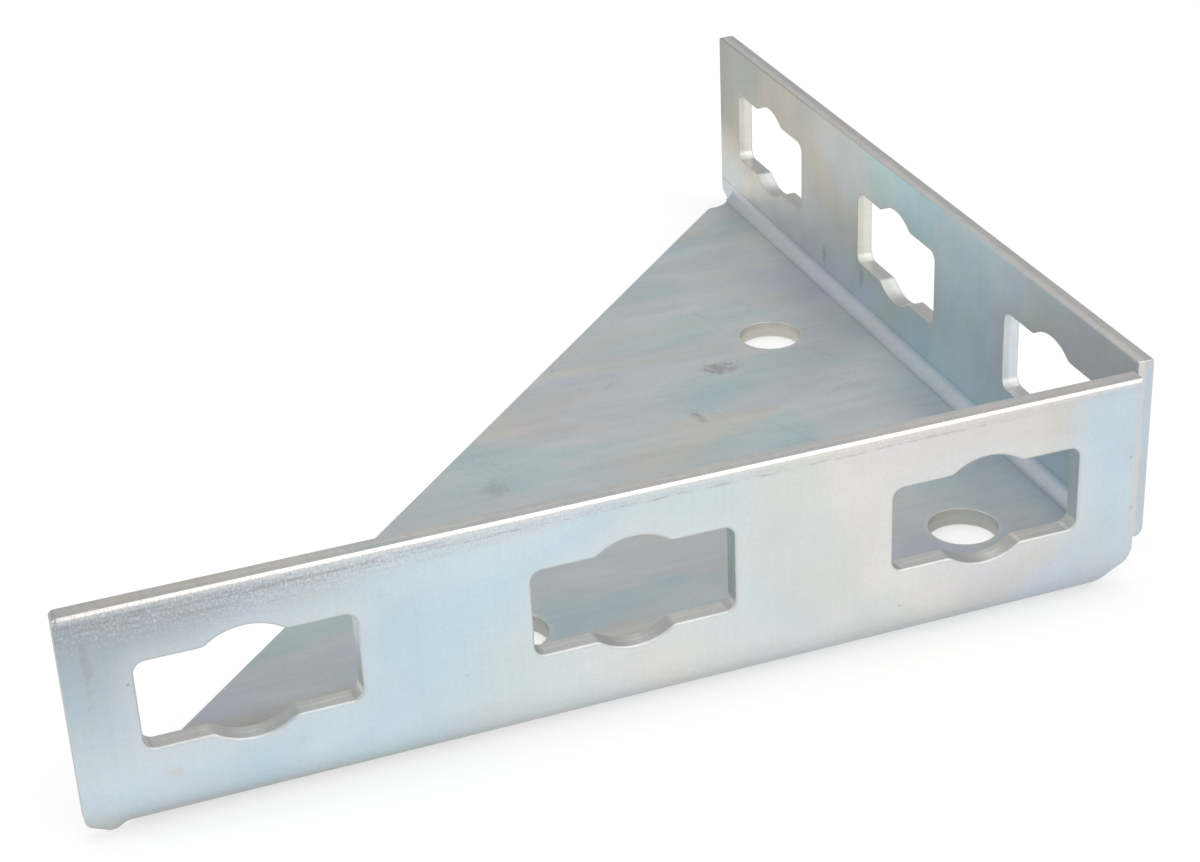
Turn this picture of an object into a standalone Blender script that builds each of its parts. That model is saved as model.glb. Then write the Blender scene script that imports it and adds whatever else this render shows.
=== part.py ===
"""Strut angle fitting, folded from one blank of plated sheet steel.

A triangular web lies flat on the ground plane and two equal flanges stand up
along its square sides. Each flange has three long slots with a round bulge in
the middle of both edges, and the web has three round holes. A round relief at
the corner keeps the two folds apart, and the free end of each flange reaches
past the web as a short flat lug.

The blank is drawn flat, cut along the lines where it will bend, and folded by
moving its vertices, so the holes, reliefs and folds lie where they do on a
blank that is punched first and folded afterwards. Lengths are in metres.
"""

import math

import bmesh
import bpy
from mathutils import Vector
from mathutils.geometry import delaunay_2d_cdt

for item in list(bpy.data.objects):
    bpy.data.objects.remove(item, do_unlink=True)

# Sheet and folds
sheet_thickness = 0.004
inside_bend_radius = 0.003
neutral_axis_share = 0.4
edge_roll_radius = 0.0009
punched_roll_radius = 0.0003

# Flanges, measured from the outer faces that meet at the corner
leg_length = 0.215
flange_height = 0.0466
flange_tip_radius = 0.0005

# Slots in each flange
slots_per_flange = 3
slot_length = 0.0396
slot_width = 0.018
slot_corner_radius = 0.0023
slot_bulge_rise = 0.0026
slot_bulge_fillet = 0.0025
slot_from_top = 0.0208
slot_from_corner = 0.0395
slot_from_end = 0.0319

# Web and its round holes
web_setback = 0.0117
web_tip_width = 0.0128
web_tip_rounding = 0.002
hole_diameter = 0.0143
hole_inset = 0.0288
hole_from_hypotenuse = 0.0428

# Round relief where the folds meet
corner_gap = 0.0065
relief_inset = 0.0068
relief_diameter = 0.0126
relief_lip_radius = 0.0035

# Flat lug at each flange's free end, with its lower corner cut back
lug_clearance = 0.0018
lug_chamfer_length = 0.0041
lug_chamfer_height = 0.0018
lug_corner_radius = 0.0018
lug_fillet_radius = 0.0068
lug_release_share = 0.5
lug_release_cuts = 4

# How finely curves are drawn, and how near a vertex must lie to be moved onto a cut
chord_tolerance = 0.00002
snap_distance = 0.00003

# Sizes that follow from the ones above
outside_bend_radius = sheet_thickness + inside_bend_radius
neutral_radius = inside_bend_radius + neutral_axis_share * sheet_thickness
fold_length = neutral_radius * math.pi / 2
web_end = leg_length - web_setback
hypotenuse = web_end + web_tip_width
slot_height = flange_height - slot_from_top


def flat_line(height):
    """Where a height on the standing flange lies in the blank, across the fold line."""
    return outside_bend_radius - fold_length - (height - outside_bend_radius)


def arc_steps(radius, sweep):
    """Number of chords that keep an arc within the tolerance."""
    widest = 2 * math.acos(1 - min(chord_tolerance / radius, 1))
    return max(1, math.ceil(abs(sweep) / widest))


def arc(centre, start, sweep):
    """Points from start, turned about the centre by the sweep."""
    spoke = Vector(start) - Vector(centre)
    steps = arc_steps(spoke.length, sweep)
    turned = []
    for step in range(steps + 1):
        angle = sweep * step / steps
        cos, sin = math.cos(angle), math.sin(angle)
        offset = Vector((spoke.x * cos - spoke.y * sin, spoke.x * sin + spoke.y * cos))
        turned.append(Vector(centre) + offset)
    return turned


def rounded_run(corners):
    """Straight lines through the corners, each rounded to its own radius where there is room."""
    points = [Vector(point) for point, _ in corners]
    sides = [after - before for before, after in zip(points, points[1:])]
    turns = [0] + [-side.angle_signed(after) for side, after in zip(sides, sides[1:])] + [0]
    reaches = [radius * abs(math.tan(turn / 2)) for (_, radius), turn in zip(corners, turns)]
    rooms = [
        side.length / max(side.length, reach + after)
        for side, reach, after in zip(sides, reaches, reaches[1:])
    ]
    run = points[:1]
    for index in range(1, len(points) - 1):
        room = min(rooms[index - 1], rooms[index])
        heading = sides[index - 1].normalized()
        across = Vector((-heading.y, heading.x)) * math.copysign(1, turns[index])
        start = points[index] - heading * reaches[index] * room
        run += arc(start + across * corners[index][1] * room, start, turns[index])
    return run + points[-1:]


def mirrored(points):
    """The same points reflected in the line that halves the corner, in reverse order."""
    return [Vector((-point.y, -point.x)) for point in reversed(points)]


def tidy_loop(points, turns_left):
    """A closed loop without repeated points, running the way round that is asked for."""
    loop = []
    for point in points:
        if not loop or (point - loop[-1]).length > chord_tolerance:
            loop.append(point)
    while (loop[0] - loop[-1]).length <= chord_tolerance:
        loop.pop()
    area = sum(a.x * b.y - a.y * b.x for a, b in zip(loop, loop[1:] + loop[:1]))
    return loop if (area > 0) == turns_left else loop[::-1]


def relief_run():
    """From the end of the front flange, over a rounded lip, to the middle of the relief."""
    relief_radius = relief_diameter / 2
    centre = Vector((-relief_inset, relief_inset))
    lip_across = relief_inset - corner_gap - relief_lip_radius
    lip_along = math.sqrt((relief_radius + relief_lip_radius) ** 2 - lip_across**2)
    to_lip = Vector((lip_across, -lip_along))
    lip_start = centre + to_lip + Vector((relief_lip_radius, 0))
    lip = arc(centre + to_lip, lip_start, math.pi - to_lip.angle(Vector((1, 0))))
    relief_start = centre + to_lip.normalized() * relief_radius
    return lip + arc(centre, relief_start, -to_lip.angle(Vector((-1, 1))))


def blank_outline():
    """The flat blank's edge. Its front half is drawn and the other half mirrored."""
    flange_top = flat_line(flange_height)
    lug_edge = flat_line(lug_clearance)
    lug_foot = leg_length - lug_chamfer_length
    chamfer_end = flat_line(lug_clearance + lug_chamfer_height)
    half_hypotenuse = hypotenuse / 2
    lip = relief_run()
    front_half = rounded_run(
        [
            ((-half_hypotenuse, half_hypotenuse), 0),
            ((-web_end, web_tip_width), web_tip_rounding),
            ((-web_end, lug_edge), lug_fillet_radius),
            ((-lug_foot, lug_edge), lug_corner_radius),
            ((-leg_length, chamfer_end), lug_corner_radius),
            ((-leg_length, flange_top), flange_tip_radius),
            ((-corner_gap, flange_top), flange_tip_radius),
            (lip[0], 0),
        ]
    )
    front_half += lip
    return tidy_loop(front_half + mirrored(front_half), turns_left=True)


def slot_loop(middle):
    """A long slot with rounded corners and a round bulge blended into each long edge."""
    half_length, half_width = slot_length / 2, slot_width / 2
    bulge_radius = half_width + slot_bulge_rise
    corner_radius = min(slot_corner_radius, half_width)
    fillet_height = half_width + slot_bulge_fillet
    fillet_reach = math.sqrt((bulge_radius + slot_bulge_fillet) ** 2 - fillet_height**2)
    fillet_sweep = math.pi / 2 - math.atan2(fillet_height, fillet_reach)
    corner_centre = Vector((half_length - corner_radius, half_width - corner_radius))
    corner = arc(corner_centre, corner_centre + Vector((corner_radius, 0)), math.pi / 2)
    fillet_centre = Vector((fillet_reach, fillet_height))
    fillet = arc(fillet_centre, Vector((fillet_reach, half_width)), -fillet_sweep)
    bulge = arc(Vector((0, 0)), fillet[-1], fillet_sweep)
    quarter = corner + fillet + bulge
    half = quarter + [Vector((-point.x, point.y)) for point in reversed(quarter)]
    whole = half + [-point for point in half]
    return tidy_loop([point + middle for point in whole], turns_left=False)


def round_loop(middle):
    """A round hole in the web."""
    rim = arc(middle, middle + Vector((hole_diameter / 2, 0)), 2 * math.pi)
    return tidy_loop(rim, turns_left=False)


def slot_middles():
    """Middles of the front flange's slots, evenly spaced between the first and the last."""
    last = leg_length - slot_from_end
    spacing = (last - slot_from_corner) / max(slots_per_flange - 1, 1)
    line = flat_line(slot_height)
    return [Vector((-slot_from_corner - spacing * place, line)) for place in range(slots_per_flange)]


def hole_middles():
    """Middles of the web's holes: one near the corner and one towards each end."""
    far = hypotenuse - hole_inset - hole_from_hypotenuse * math.sqrt(2)
    places = ((-hole_inset, hole_inset), (-hole_inset, far), (-far, hole_inset))
    return [Vector(place) for place in places]


def punched_loops():
    """Every opening in the blank: slots in both flanges, then the web's holes."""
    front = [slot_loop(middle) for middle in slot_middles()]
    side = [tidy_loop(mirrored(loop), turns_left=False) for loop in front]
    return front + side + [round_loop(middle) for middle in hole_middles()]


def inset(loop, distance):
    """The loop moved into the material. A corner rounded by less than the distance comes out sharp."""
    count = len(loop)
    sides = [after - point for point, after in zip(loop, loop[1:] + loop[:1])]
    normals = [Vector((-side.y, side.x)).normalized() for side in sides]
    moved = []
    for point, behind, ahead in zip(loop, normals[-1:] + normals[:-1], normals):
        moved.append(point + (behind + ahead) * distance / (1 + behind.dot(ahead)))
    turned_round = [
        (after - point).dot(side) <= 0
        for point, after, side in zip(moved, moved[1:] + moved[:1], sides)
    ]
    for first in range(count):
        if not turned_round[first] or turned_round[first - 1]:
            continue
        last = first
        while turned_round[(last + 1) % count]:
            last += 1
        heading, leaving = sides[first - 1], sides[(last + 1) % count]
        reach = (moved[(last + 1) % count] - moved[first]).cross(leaving) / heading.cross(leaving)
        corner = moved[first] + heading * reach
        for place in range(first, last + 2):
            moved[place % count] = corner
    return moved


def ring(mesh, loop, depth):
    """Vertices along a loop, at a depth below the blank's outer face. A repeated point shares one."""
    vertices = []
    for before, point in zip([None] + loop, loop):
        repeated = vertices and before == point
        vertices.append(vertices[-1] if repeated else mesh.verts.new((point.x, point.y, depth)))
    return vertices


def wall(mesh, lower, upper):
    """Faces between two rings of the same length."""
    for index in range(len(lower)):
        after = (index + 1) % len(lower)
        corners = dict.fromkeys((lower[index], lower[after], upper[after], upper[index]))
        if len(corners) > 2:
            mesh.faces.new(list(corners))


def fill(mesh, rings):
    """A flat face between an outer ring and the rings of its openings."""
    corners, loops = [], []
    for loop in rings:
        apart = list(dict.fromkeys(loop))
        loops.append(range(len(corners), len(corners) + len(apart)))
        corners += apart
    places = [corner.co.xy for corner in corners]
    inside_without_holes = 2
    found = delaunay_2d_cdt(places, [], loops, inside_without_holes, 0)
    triangles, sources = found[2:4]
    for triangle in triangles:
        mesh.faces.new([corners[sources[corner][0]] for corner in triangle])


def rolled_edge(mesh, loop, roll_radius):
    """Rings from the rolled outer arris of a sheared or punched edge up to the inner face."""
    steps = arc_steps(roll_radius, math.pi / 2)
    rings = []
    for step in range(steps + 1):
        angle = math.pi / 2 * step / steps
        back = roll_radius * (1 - math.sin(angle))
        depth = roll_radius * (1 - math.cos(angle))
        rings.append(ring(mesh, inset(loop, back), depth))
    rings.append(ring(mesh, loop, sheet_thickness))
    return rings


def cut(mesh, point, normal):
    """Splits every face along a plane, so that the blank can bend there."""
    parts = list(mesh.verts) + list(mesh.edges) + list(mesh.faces)
    bmesh.ops.bisect_plane(
        mesh,
        geom=parts,
        dist=snap_distance,
        plane_co=point,
        plane_no=normal,
        use_snap_center=True,
    )


def cut_fold_lines(mesh):
    """Fold lines across both folds, and the lines where each lug comes away from its fold."""
    folds = arc_steps(outside_bend_radius, math.pi / 2)
    for step in range(folds + 1):
        line = outside_bend_radius - fold_length * step / folds
        cut(mesh, (0, line, 0), (0, 1, 0))
        cut(mesh, (-line, 0, 0), (1, 0, 0))
    for step in range(lug_release_cuts + 1):
        share = lug_release_share + (1 - lug_release_share) * step / lug_release_cuts
        line = web_end + lug_fillet_radius * share
        cut(mesh, (-line, 0, 0), (1, 0, 0))
        cut(mesh, (0, line, 0), (0, 1, 0))


def lug_release(along):
    """0 where the sheet follows the fold and 1 where the lug stays flat, blended between."""
    start = web_end + lug_fillet_radius * lug_release_share
    share = (along - start) / (lug_fillet_radius * (1 - lug_release_share))
    share = max(0, min(1, share))
    return share * share * (3 - 2 * share)


def folded(past, depth, along):
    """Distance in from the flange's outer face, and height, of a point past its fold line."""
    angle = math.pi / 2 * min(past / fold_length, 1)
    radius = outside_bend_radius - depth
    straight = past - fold_length
    inward = outside_bend_radius - radius * math.sin(angle)
    height = outside_bend_radius - radius * math.cos(angle) + max(straight, 0)
    release = lug_release(along)
    flat_height = outside_bend_radius + straight
    return (
        inward + (depth - inward) * release,
        height + (flat_height - height) * release,
    )


def fold(mesh):
    """Folds both flanges up square to the web."""
    for vertex in mesh.verts:
        x, y, depth = vertex.co
        past_front, past_side = outside_bend_radius - y, outside_bend_radius + x
        if past_front > max(past_side, 0):
            y, depth = folded(past_front, depth, -x)
        elif past_side > 0:
            inward, depth = folded(past_side, depth, y)
            x = -inward
        vertex.co = (x, y, depth)


def zinc_plate():
    """Bright zinc plating on rolled steel sheet."""
    material = bpy.data.materials.new("zinc_plated_steel")
    material.use_nodes = True
    shader = material.node_tree.nodes["Principled BSDF"]
    shader.inputs["Base Color"].default_value = (0.56, 0.61, 0.64, 1)
    shader.inputs["Metallic"].default_value = 0.9
    shader.inputs["Roughness"].default_value = 0.42
    return material


def folded_angle_bracket():
    """The whole fitting, with its box centred over the origin and its web on the ground."""
    mesh = bmesh.new()
    edges = [rolled_edge(mesh, blank_outline(), edge_roll_radius)]
    edges += [rolled_edge(mesh, loop, punched_roll_radius) for loop in punched_loops()]
    for rings in edges:
        for lower, upper in zip(rings, rings[1:]):
            wall(mesh, lower, upper)
    fill(mesh, [rings[0] for rings in edges])
    fill(mesh, [rings[-1] for rings in edges])
    bmesh.ops.recalc_face_normals(mesh, faces=mesh.faces)
    cut_fold_lines(mesh)
    bmesh.ops.triangulate(mesh, faces=mesh.faces)
    fold(mesh)
    bmesh.ops.translate(mesh, verts=mesh.verts, vec=(leg_length / 2, -leg_length / 2, 0))
    data = bpy.data.meshes.new("folded_angle_bracket")
    mesh.to_mesh(data)
    mesh.free()
    data.materials.append(zinc_plate())
    data.shade_smooth()
    data.set_sharp_from_angle(angle=math.radians(30))
    bracket = bpy.data.objects.new("folded_angle_bracket", data)
    bpy.context.scene.collection.objects.link(bracket)
    return bracket


folded_angle_bracket()
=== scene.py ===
"""Looks of the strut angle fitting, a blank of rolled steel that is sheared, punched, folded and zinc plated.

The sections follow the order in which the real fitting is made: the blank's
edge, its openings, the flat sheet, the fold and the plating. The studio comes last.
"""

import math

import bmesh
import bpy
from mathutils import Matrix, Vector
from mathutils.geometry import delaunay_2d_cdt


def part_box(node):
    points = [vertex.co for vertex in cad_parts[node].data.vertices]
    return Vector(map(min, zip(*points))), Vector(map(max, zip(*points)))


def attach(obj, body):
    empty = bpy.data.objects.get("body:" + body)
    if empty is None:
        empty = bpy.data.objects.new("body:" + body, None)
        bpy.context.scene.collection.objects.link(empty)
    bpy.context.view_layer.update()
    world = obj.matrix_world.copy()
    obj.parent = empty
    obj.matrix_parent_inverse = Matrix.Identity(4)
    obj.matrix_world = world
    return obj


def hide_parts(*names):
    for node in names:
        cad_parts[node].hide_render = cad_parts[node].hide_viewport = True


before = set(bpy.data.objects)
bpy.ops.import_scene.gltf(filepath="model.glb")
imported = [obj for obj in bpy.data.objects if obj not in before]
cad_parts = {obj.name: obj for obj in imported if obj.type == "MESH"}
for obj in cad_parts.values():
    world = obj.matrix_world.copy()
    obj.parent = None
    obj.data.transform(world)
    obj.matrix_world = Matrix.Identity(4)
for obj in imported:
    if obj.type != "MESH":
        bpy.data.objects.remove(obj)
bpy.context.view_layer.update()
solid_low, solid_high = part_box("folded_angle_bracket")

# The blank
# A flat piece of 4 mm rolled steel: a triangle, which becomes the web, with a strip along each square side,
# which becomes a flange. It is drawn in the place where the web lies, its corner at the origin, and the outer
# faces of the folded flanges would lie on its X and Y axes. One stroke shears it to this outline.

leg_length = solid_high.x - solid_low.x
flange_height = solid_high.z - solid_low.z
sheet_thickness = 0.004
inside_bend_radius = 0.003
neutral_axis_share = 0.4
outside_bend_radius = sheet_thickness + inside_bend_radius
fold_length = (inside_bend_radius + neutral_axis_share * sheet_thickness) * math.pi / 2
web_setback = 0.0117
web_end = leg_length - web_setback
web_tip_width = 0.0128
hypotenuse = web_end + web_tip_width
corner_gap = 0.0065
relief_inset = 0.0068
relief_radius = 0.0063
relief_lip_radius = 0.0035
lug_clearance = 0.0018
lug_chamfer_length = 0.0041
lug_chamfer_height = 0.0018
lug_corner_radius = 0.0018
lug_fillet_radius = 0.0068
web_tip_rounding = 0.002
free_tip_radius = 0.0011
corner_tip_radius = 0.0002
outline_outer_roll = (0.0013, 0.00075)
outline_inner_roll = (0.00025, 0.00025)
chord_tolerance = 0.000004
merge_distance = chord_tolerance / 40


def flat_line(height):
    """Where a height on the standing flange lies in the blank, across the fold."""
    return outside_bend_radius - fold_length - (height - outside_bend_radius)


def arc_steps(radius, sweep):
    """Number of chords that keep an arc within the tolerance."""
    widest = 2 * math.acos(1 - min(chord_tolerance / radius, 1))
    return max(1, math.ceil(abs(sweep) / widest))


def arc(centre, start, sweep):
    """Points from start, turned about the centre by the sweep."""
    spoke = start - centre
    steps = arc_steps(spoke.length, sweep)
    turned = []
    for step in range(steps + 1):
        cos, sin = math.cos(sweep * step / steps), math.sin(sweep * step / steps)
        turned.append(centre + Vector((spoke.x * cos - spoke.y * sin, spoke.x * sin + spoke.y * cos)))
    return turned


def rounded_run(corners):
    """Straight lines through the corners, each rounded to its own radius."""
    points = [Vector(point) for point, _ in corners]
    run = points[:1]
    for before, point, after, (_, radius) in zip(points, points[1:], points[2:], corners[1:]):
        turn = -(point - before).angle_signed(after - point)
        heading = (point - before).normalized()
        across = Vector((-heading.y, heading.x)) * math.copysign(radius, turn)
        start = point - heading * radius * abs(math.tan(turn / 2))
        run += arc(start + across, start, turn)
    return run + points[-1:]


def mirrored(points):
    """The same points reflected in the line that halves the corner, in reverse order."""
    return [Vector((-point.y, -point.x)) for point in reversed(points)]


def swept_area(loop):
    """Twice the area inside a closed loop, negative where the loop turns right."""
    return sum(a.x * b.y - a.y * b.x for a, b in zip(loop, loop[1:] + loop[:1]))


def closed(points, turns_left):
    """A closed loop without repeated points, running the way round that is asked for."""
    loop = []
    for point in points:
        if not loop or (point - loop[-1]).length > chord_tolerance:
            loop.append(point)
    while (loop[0] - loop[-1]).length <= chord_tolerance:
        loop.pop()
    return loop if (swept_area(loop) > 0) == turns_left else loop[::-1]


def relief_run():
    """From the end of the front flange, over a rounded lip, to the middle of the corner relief."""
    centre = Vector((-relief_inset, relief_inset))
    lip_across = relief_inset - corner_gap - relief_lip_radius
    lip_along = math.sqrt((relief_radius + relief_lip_radius) ** 2 - lip_across**2)
    to_lip = Vector((lip_across, -lip_along))
    lip_start = centre + to_lip + Vector((relief_lip_radius, 0))
    lip = arc(centre + to_lip, lip_start, math.pi - to_lip.angle(Vector((1, 0))))
    relief_start = centre + to_lip.normalized() * relief_radius
    return lip + arc(centre, relief_start, -to_lip.angle(Vector((-1, 1))))


def blank_outline():
    """The blank's edge. Its front half is drawn, and the other half is its mirror image."""
    flange_top = flat_line(flange_height)
    lug_edge = flat_line(lug_clearance)
    lip = relief_run()
    front_half = rounded_run(
        [
            ((-hypotenuse / 2, hypotenuse / 2), 0),
            ((-web_end, web_tip_width), web_tip_rounding),
            ((-web_end, lug_edge), lug_fillet_radius),
            ((lug_chamfer_length - leg_length, lug_edge), lug_corner_radius),
            ((-leg_length, lug_edge - lug_chamfer_height), lug_corner_radius),
            ((-leg_length, flange_top), free_tip_radius),
            ((-corner_gap, flange_top), corner_tip_radius),
            (lip[0], 0),
        ]
    )
    return closed(front_half + lip + mirrored(front_half + lip), turns_left=True)


def inset(loop, distance):
    """The loop moved into the sheet. A corner rounded by less than the distance comes out sharp."""
    sides = [after - point for point, after in zip(loop, loop[1:] + loop[:1])]
    normals = [Vector((-side.y, side.x)).normalized() for side in sides]
    kept, left = [], list(range(len(loop)))
    while left != kept:
        kept, starts = left, {}
        for before, side in zip(kept[-1:] + kept[:-1], kept):
            behind, ahead = normals[before], normals[side]
            if (before + 1) % len(loop) == side:
                starts[side] = loop[side] + (behind + ahead) * distance / (1 + behind.dot(ahead))
            else:
                start, other = loop[before] + behind * distance, loop[side] + ahead * distance
                reach = (other - start).cross(sides[side]) / sides[before].cross(sides[side])
                starts[side] = start + sides[before] * reach
        left = [side for side, after in zip(kept, kept[1:] + kept[:1])
                if (starts[after] - starts[side]).dot(sides[side]) > 0]
    moved, start = [], starts[kept[0]]
    for side in reversed(range(len(loop))):
        start = starts.get(side, start)
        moved.append(start)
    return moved[::-1]


def sheared_rim(loop, outer_roll, inner_roll):
    """The edge that a shear or a punch leaves along the loop, as rings joined by faces.

    Both arrises are rolled over: the outer one, where the tool enters, more than the inner one. Each roll is
    given by its reach along the sheet's face and its drop down the wall.
    """
    rings = []
    for (reach, drop), face, inwards in ((outer_roll, 0, 1), (inner_roll, sheet_thickness, -1)):
        steps = arc_steps(reach * reach / drop, math.pi / 2)
        for step in range(steps + 1)[::inwards]:
            angle = math.pi / 2 * step / steps
            depth = face + inwards * drop * (1 - math.cos(angle))
            rings.append([(*point, depth) for point in inset(loop, reach * (1 - math.sin(angle)))])
    rim = bmesh.new()
    rows = [[rim.verts.new(place) for place in ring] for ring in rings]
    for low, high in zip(rows, rows[1:]):
        for index, corner in enumerate(low):
            after = (index + 1) % len(low)
            rim.faces.new((corner, low[after], high[after], high[index]))
    bmesh.ops.remove_doubles(rim, verts=rim.verts, dist=merge_distance)
    return rim


outline_rim = sheared_rim(blank_outline(), outline_outer_roll, outline_inner_roll)

# The openings
# Each flange has three long slots with a round bulge in the middle of both edges, so that a bolt can be
# dropped in there and slid along. The web has three round holes. All of them are punched into the flat blank
# from the side that becomes the outside, which leaves a rolled rim there and a sharper one inside.

slot_length = 0.0396
slot_width = 0.018
slot_corner_radius = 0.0023
slot_bulge_rise = 0.0026
slot_bulge_fillet = 0.0025
slots_per_flange = 3
first_slot = 0.0395
last_slot = leg_length - 0.0319
slot_spacing = (last_slot - first_slot) / (slots_per_flange - 1)
slot_from_top = 0.0208
slot_line = flat_line(flange_height - slot_from_top)
slot_bulge_radius = slot_width / 2 + slot_bulge_rise
hole_diameter = 0.0143
hole_inset = 0.0288
hole_from_hypotenuse = 0.0428
far_hole = hypotenuse - hole_inset - hole_from_hypotenuse * math.sqrt(2)
punched_outer_roll = (0.0006, 0.0004)
punched_inner_roll = (0.00015, 0.00015)


def slot_loop():
    """A slot's edge about its own middle. One quarter is drawn and then mirrored twice."""
    half_length, half_width = slot_length / 2, slot_width / 2
    fillet_height = half_width + slot_bulge_fillet
    fillet_reach = math.sqrt((slot_bulge_radius + slot_bulge_fillet) ** 2 - fillet_height**2)
    fillet_sweep = math.pi / 2 - math.atan2(fillet_height, fillet_reach)
    corner_centre = Vector((half_length - slot_corner_radius, half_width - slot_corner_radius))
    quarter = arc(corner_centre, corner_centre + Vector((slot_corner_radius, 0)), math.pi / 2)
    quarter += arc(Vector((fillet_reach, fillet_height)), Vector((fillet_reach, half_width)), -fillet_sweep)
    quarter += arc(Vector((0, 0)), quarter[-1], fillet_sweep)
    half = quarter + [Vector((-point.x, point.y)) for point in reversed(quarter)]
    return closed(half + [-point for point in half], turns_left=False)


def hole_loop():
    """A round hole's edge about its own middle."""
    middle = Vector((0, 0))
    return closed(arc(middle, Vector((hole_diameter / 2, 0)), 2 * math.pi), turns_left=False)


class Term:
    """A value in a node tree, which can be added, multiplied and compared like a number."""

    def __init__(self, tree, socket):
        self.tree = tree
        self.socket = socket

    def math(self, operation, *others):
        node = self.tree.nodes.new("ShaderNodeMath")
        node.operation = operation
        for socket, value in zip(node.inputs, (self,) + others):
            plug(self.tree, socket, value)
        return Term(self.tree, node.outputs[0])

    def __add__(self, other):
        return self.math("ADD", other)

    def __sub__(self, other):
        return self.math("SUBTRACT", other)

    def __mul__(self, other):
        return self.math("MULTIPLY", other)

    def __truediv__(self, other):
        return self.math("DIVIDE", other)

    def __gt__(self, other):
        return self.math("GREATER_THAN", other)

    def __neg__(self):
        return self.math("MULTIPLY", -1)

    def __rsub__(self, other):
        return -self + other

    def over(self, low, high):
        """0 below the low value and 1 above the high one, with a smooth rise between them."""
        return add(self.tree, "ShaderNodeMapRange", "Result", interpolation_type="SMOOTHSTEP",
                   Value=self, From_Min=low, From_Max=high)

    def under(self, low, high):
        """1 below the low value and 0 above the high one, with a smooth fall between them."""
        return 1 - self.over(low, high)

    def choose(self, when_set, otherwise):
        """One value where this one is 1 and another where it is 0."""
        return self * when_set + (1 - self) * otherwise


def plug(tree, socket, value):
    """Links a value to a socket, or sets the socket to a plain number, colour or vector."""
    if isinstance(value, Term):
        tree.links.new(value.socket, socket)
    else:
        socket.default_value = value


def add(tree, kind, output, **values):
    """One node: its settings, then its inputs, whose names have _ for each space. Gives an output."""
    node = tree.nodes.new(kind)
    for name in [name for name in values if hasattr(node, name)]:
        setattr(node, name, values.pop(name))
    for name, value in values.items():
        label = name.strip("_").replace("_", " ")
        sockets = [socket for socket in node.inputs if socket.name == label and socket.enabled]
        plug(tree, sockets[0], value)
    shown = [socket for socket in node.outputs if socket.name == output and socket.enabled]
    return Term(tree, shown[0])


def vector(tree, x=0.0, y=0.0, z=0.0):
    """A vector put together from its parts."""
    return add(tree, "ShaderNodeCombineXYZ", "Vector", X=x, Y=y, Z=z)


def split_vector(tree, whole):
    """The three parts of a vector."""
    node = tree.nodes.new("ShaderNodeSeparateXYZ")
    plug(tree, node.inputs[0], whole)
    return [Term(tree, socket) for socket in node.outputs]


def group(name, kind, inputs, outputs):
    """A node group with named inputs, given as kind and value, and named outputs, given as kind."""
    tree = bpy.data.node_groups.new(name, kind)
    for socket, (socket_kind, value) in inputs.items():
        made = tree.interface.new_socket(socket, in_out="INPUT", socket_type="NodeSocket" + socket_kind)
        if value is not None:
            made.default_value = value
    for socket, socket_kind in outputs.items():
        tree.interface.new_socket(socket, in_out="OUTPUT", socket_type="NodeSocket" + socket_kind)
    given = tree.nodes.new("NodeGroupInput")
    return tree, {socket.name: Term(tree, socket) for socket in given.outputs if socket.name}


def give(tree, **values):
    """Links the tree's results to its named outputs."""
    end = tree.nodes.new("NodeGroupOutput")
    for name, value in values.items():
        plug(tree, end.inputs[name.replace("_", " ")], value)


def punch_row_tree():
    """Repeats one punched rim along a flange, and along the other flange as its mirror image."""
    tree, given = group(
        "punch_row",
        "GeometryNodeTree",
        {
            "Rim": ("Geometry", None),
            "Count": ("Int", 1),
            "First": ("Float", 0.0),
            "Spacing": ("Float", 0.0),
            "Line": ("Float", 0.0),
            "On Both Legs": ("Bool", True),
            "Material": ("Material", None),
        },
        {"Rims": "Geometry"},
    )
    start, step = vector(tree, -given["First"], given["Line"]), vector(tree, -given["Spacing"])
    places = add(tree, "GeometryNodeMeshLine", "Mesh", Count=given["Count"], Start_Location=start,
                 Offset=step)
    row = add(tree, "GeometryNodeInstanceOnPoints", "Instances", Points=places, Instance=given["Rim"])
    row = add(tree, "GeometryNodeRealizeInstances", "Geometry", Geometry=row)
    x, y, z = split_vector(tree, add(tree, "GeometryNodeInputPosition", "Position"))
    other = add(tree, "GeometryNodeSetPosition", "Geometry", Geometry=row, Position=vector(tree, -y, -x, z))
    other = add(tree, "GeometryNodeFlipFaces", "Mesh", Mesh=other)
    other = add(tree, "GeometryNodeSwitch", "Output", input_type="GEOMETRY",
                Switch=given["On Both Legs"], True_=other)
    join = tree.nodes.new("GeometryNodeJoinGeometry")
    plug(tree, join.inputs[0], row)
    plug(tree, join.inputs[0], other)
    rims = add(tree, "GeometryNodeRealizeInstances", "Geometry", Geometry=Term(tree, join.outputs[0]))
    rims = add(tree, "GeometryNodeSetMaterial", "Geometry", Geometry=rims, Material=given["Material"])
    give(tree, Rims=rims)
    return tree


def plain_object(name, rim_mesh):
    """An object in the scene that holds the mesh."""
    data = bpy.data.meshes.new(name)
    rim_mesh.to_mesh(data)
    rim_mesh.free()
    made = bpy.data.objects.new(name, data)
    bpy.context.scene.collection.objects.link(made)
    return made


def run_tree(shape, tree, **inputs):
    """Runs a geometry tree on an object and gives the result as a plain mesh. The object goes away."""
    modifier = shape.modifiers.new(tree.name, "NODES")
    modifier.node_group = tree
    sockets = {socket.name: socket.identifier for socket in tree.interface.items_tree}
    for name, value in inputs.items():
        modifier[sockets[name.replace("_", " ")]] = value
    evaluated = shape.evaluated_get(bpy.context.evaluated_depsgraph_get())
    result = bpy.data.meshes.new_from_object(evaluated)
    bpy.data.objects.remove(shape)
    return result


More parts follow.
